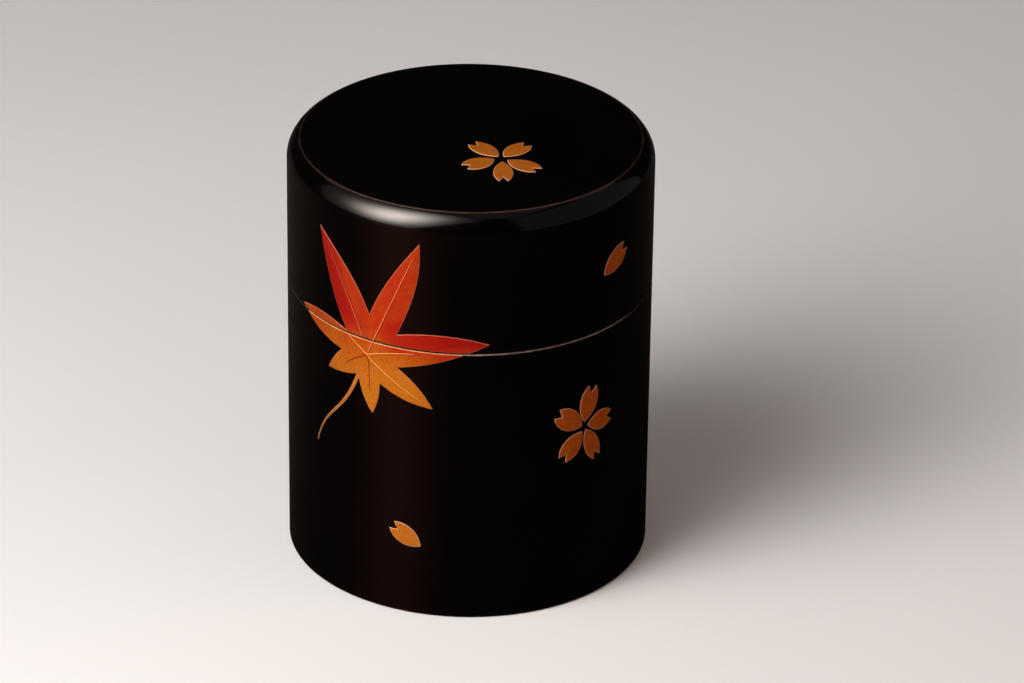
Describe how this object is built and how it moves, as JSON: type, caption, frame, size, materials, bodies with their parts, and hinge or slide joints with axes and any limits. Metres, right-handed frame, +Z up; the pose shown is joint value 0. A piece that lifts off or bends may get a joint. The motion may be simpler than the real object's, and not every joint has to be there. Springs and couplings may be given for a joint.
{
  "type": "tea caddy",
  "caption": "Turned black-lacquer tea caddy with a flush lift-off cap lid over an inner sleeve, a plug-in inner lid with a knob, and raised maple-leaf and blossom decoration.",
  "frame": {"origin": "centre of the base, on the surface that the caddy stands on", "axes": "+Z up along the turned axis; -Y is the decorated front, with the leaf towards -X"},
  "size_m": [0.08, 0.0801, 0.0976],
  "materials": {
    "lacquer_black": "polished deep black lacquer over turned wood",
    "lacquer_vermilion": "satin vermilion lacquer over turned wood",
    "rim_red": "thin red-brown lacquer line",
    "maple_red": "raised lacquer sprinkled with red and gold powder",
    "maple_gold": "raised lacquer sprinkled with gold powder",
    "vein_gold": "fine raised line of pale gold powder",
    "petal_gold": "raised lacquer sprinkled with orange-gold powder"
  },
  "bodies": {
    "caddy": {"body_shell": "lacquer_black", "base_board": "lacquer_black", "inner_sleeve": "lacquer_vermilion", "leaf_body": "maple_gold", "leaf_stem": "maple_gold", "leaf_veins_body": "vein_gold", "body_blossom": "petal_gold", "body_petal": "petal_gold"},
    "lid": {"lid_ring": "lacquer_black", "lid_top_board": "lacquer_black", "lid_rim_line": "rim_red", "leaf_lid": "maple_red", "leaf_veins_lid": "vein_gold", "top_blossom": "petal_gold", "lid_petal": "petal_gold"},
    "inner_lid": {"inner_lid": "lacquer_black", "inner_lid_knob": "lacquer_black"}
  },
  "joints": [
    {"name": "lid_lift", "type": "slide", "parent": "caddy", "child": "lid", "axis": [0, 0, 1], "range_m": [0, 0.11]},
    {"name": "inner_lid_lift", "type": "slide", "parent": "caddy", "child": "inner_lid", "axis": [0, 0, 1], "range_m": [0, 0.045]}
  ],
  "couplings": [
    {"joint": "inner_lid_lift", "follows": "lid_lift", "ratio": 0.4}
  ]
}
